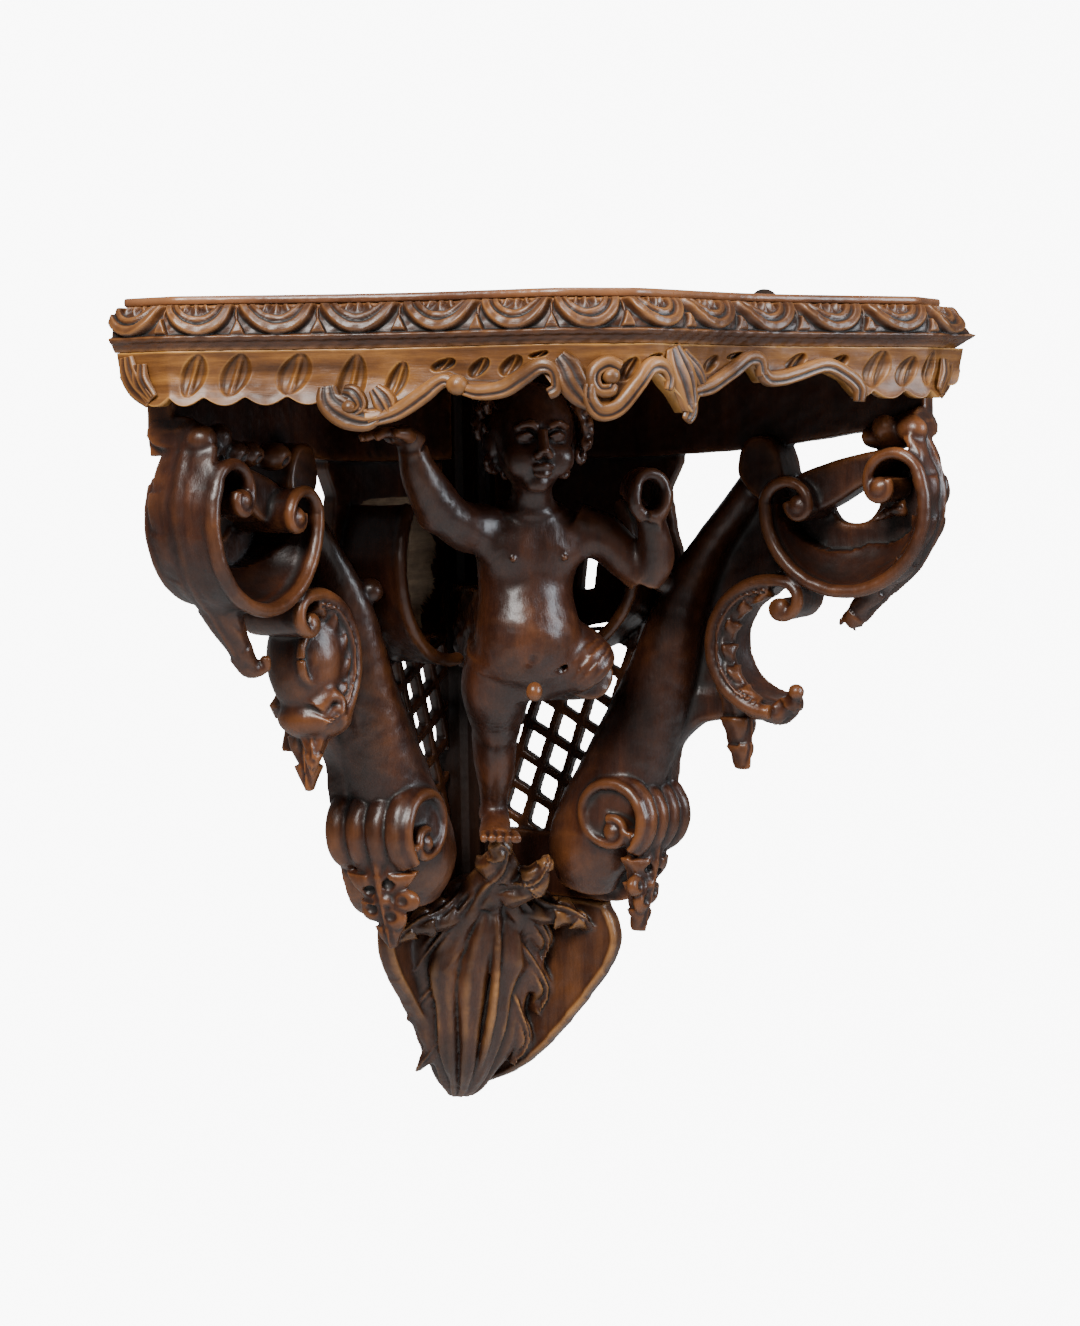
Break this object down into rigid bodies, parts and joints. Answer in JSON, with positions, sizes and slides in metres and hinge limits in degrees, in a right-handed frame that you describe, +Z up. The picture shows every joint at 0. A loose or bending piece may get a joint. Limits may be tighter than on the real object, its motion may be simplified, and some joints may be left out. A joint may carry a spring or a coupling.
{
  "type": "corner wall bracket",
  "caption": "Carved walnut corner wall bracket: a serpentine shelf with a lunette moulding on pierced scroll wings, borne by a putto over an acanthus drop.",
  "frame": {"origin": "on the corner post's flat back, 60 mm below the shelf top", "axes": "+Z up, +Y into the room's corner; the bracket faces -Y and its wings lie on walls at 45 degrees"},
  "size_m": [0.6191, 0.4339, 0.6487],
  "materials": {
    "walnut": "dark satin varnish, worn on the high points",
    "worn_walnut": "orange-brown, worn satin varnish",
    "dark_walnut": "dark patina",
    "iron": "blackened"
  },
  "bodies": {
    "root": {"shelf_board": "walnut", "shelf_moulding": "walnut", "apron": "worn_walnut", "wing_right": "walnut", "wing_left": "walnut", "corner_post": "dark_walnut", "putto": "walnut", "corner_drop": "walnut", "hanging_plate": "iron"}
  },
  "joints": []
}
